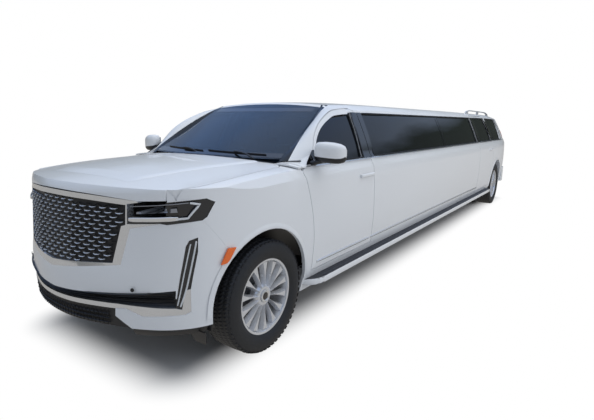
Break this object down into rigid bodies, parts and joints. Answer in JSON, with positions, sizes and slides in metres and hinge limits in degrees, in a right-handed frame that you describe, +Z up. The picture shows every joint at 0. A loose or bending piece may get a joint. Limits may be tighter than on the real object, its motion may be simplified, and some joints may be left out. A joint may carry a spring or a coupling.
{
  "type": "stretch limousine",
  "caption": "White full-size SUV stretched into a limousine, with opening doors, hood and liftgate, steered front wheels and a lounge cabin.",
  "frame": {"origin": "on the ground below the middle of the car", "axes": "+Z up, +X to the car's left, the nose points along -Y"},
  "size_m": [2.424, 9.954, 1.9039],
  "materials": {
    "body_paint": "pearl white paint, clear coat",
    "dark_glass": "dark tinted glass",
    "clear_glass": "lightly tinted laminated glass",
    "lamp_lens": "clear lens over dark housing",
    "red_lens": "red lens",
    "chrome": "bright chrome",
    "black_plastic": "black moulded plastic",
    "board_rubber": "ribbed black tread with painted edge",
    "rail_metal": "satin anodised",
    "tyre": "black tyre rubber",
    "alloy": "polished and painted cast alloy",
    "chassis_steel": "black chassis paint",
    "cast": "raw casting",
    "bare_steel": "heat-dulled steel",
    "tank_plastic": "black blow-moulded plastic",
    "floor_paint": "black underseal",
    "dash_plastic": "soft dark moulding",
    "seat_leather": "dark leather",
    "cabinet_wood": "dark lacquered veneer"
  },
  "bodies": {
    "car": {"body_side_left": "body_paint", "body_side_right": "body_paint", "roof": "body_paint", "fenders": "body_paint", "front_bumper": "body_paint", "rear_bumper": "body_paint", "side_glass": "dark_glass", "windshield": "clear_glass", "headlamps": "lamp_lens", "day_lamps": "lamp_lens", "tail_lamps": "red_lens", "grille_surround": "chrome", "bumper_strip": "chrome", "grille": "black_plastic", "lower_grille": "black_plastic", "cowl": "black_plastic", "wheel_liners": "black_plastic", "running_boards": "board_rubber", "roof_rails": "rail_metal", "frame_rails": "chassis_steel", "frame_ends": "chassis_steel", "front_suspension": "chassis_steel", "rear_suspension": "chassis_steel", "rear_hubs": "cast", "engine_block": "cast", "driveshaft": "bare_steel", "exhaust": "bare_steel", "fuel_tank": "tank_plastic", "floor_pan": "floor_paint", "rear_floor": "floor_paint", "dashboard": "dash_plastic", "steering_wheel": "dash_plastic", "front_seats": "seat_leather", "lounge_seats": "seat_leather", "bar_counter": "cabinet_wood", "partition": "cabinet_wood"},
    "hood": {"hood": "body_paint"},
    "door_front_left": {"door_front_left": "body_paint", "glass_front_left": "dark_glass", "mirror_left": "body_paint"},
    "door_front_right": {"door_front_right": "body_paint", "glass_front_right": "dark_glass", "mirror_right": "body_paint"},
    "door_rear_left": {"door_rear_left": "body_paint", "glass_rear_left": "dark_glass"},
    "door_rear_right": {"door_rear_right": "body_paint", "glass_rear_right": "dark_glass"},
    "liftgate": {"liftgate": "body_paint", "glass_liftgate": "dark_glass"},
    "steer_left": {"knuckle_front_left": "cast"},
    "steer_right": {"knuckle_front_right": "cast"},
    "wheel_front_left": {"tyre_front_left": "tyre", "rim_front_left": "alloy"},
    "wheel_front_right": {"tyre_front_right": "tyre", "rim_front_right": "alloy"},
    "wheel_rear_left": {"tyre_rear_left": "tyre", "rim_rear_left": "alloy"},
    "wheel_rear_right": {"tyre_rear_right": "tyre", "rim_rear_right": "alloy"}
  },
  "joints": [
    {"name": "hood_hinge", "type": "hinge", "parent": "car", "child": "hood", "pos_m": [0, -3.559, 1.385], "axis": [-1, 0, 0], "range_deg": [0, 50]},
    {"name": "door_front_left_hinge", "type": "hinge", "parent": "car", "child": "door_front_left", "pos_m": [1.029, -3.536, 0.9], "axis": [0, 0, -1], "range_deg": [0, 65]},
    {"name": "door_front_right_hinge", "type": "hinge", "parent": "car", "child": "door_front_right", "pos_m": [-1.029, -3.536, 0.9], "axis": [0, 0, 1], "range_deg": [0, 65]},
    {"name": "door_rear_left_hinge", "type": "hinge", "parent": "car", "child": "door_rear_left", "pos_m": [1.029, 2.149, 0.9], "axis": [0, 0, -1], "range_deg": [0, 65]},
    {"name": "door_rear_right_hinge", "type": "hinge", "parent": "car", "child": "door_rear_right", "pos_m": [-1.029, 2.149, 0.9], "axis": [0, 0, 1], "range_deg": [0, 65]},
    {"name": "liftgate_hinge", "type": "hinge", "parent": "car", "child": "liftgate", "pos_m": [0, 4.489, 1.865], "axis": [1, 0, 0], "range_deg": [0, 80]},
    {"name": "steer_left", "type": "hinge", "parent": "car", "child": "steer_left", "pos_m": [0.808, -3.951, 0.417], "axis": [0, 0, 1], "range_deg": [-33, 33]},
    {"name": "steer_right", "type": "hinge", "parent": "car", "child": "steer_right", "pos_m": [-0.808, -3.951, 0.417], "axis": [0, 0, 1], "range_deg": [-33, 33]},
    {"name": "spin_front_left", "type": "hinge", "parent": "steer_left", "child": "wheel_front_left", "pos_m": [0.87, -3.951, 0.417], "axis": [1, 0, 0], "continuous": true},
    {"name": "spin_front_right", "type": "hinge", "parent": "steer_right", "child": "wheel_front_right", "pos_m": [-0.87, -3.951, 0.417], "axis": [1, 0, 0], "continuous": true},
    {"name": "spin_rear_left", "type": "hinge", "parent": "car", "child": "wheel_rear_left", "pos_m": [0.87, 3.692, 0.417], "axis": [1, 0, 0], "continuous": true},
    {"name": "spin_rear_right", "type": "hinge", "parent": "car", "child": "wheel_rear_right", "pos_m": [-0.87, 3.692, 0.417], "axis": [1, 0, 0], "continuous": true}
  ],
  "couplings": [
    {"joint": "steer_right", "follows": "steer_left", "ratio": 1}
  ]
}
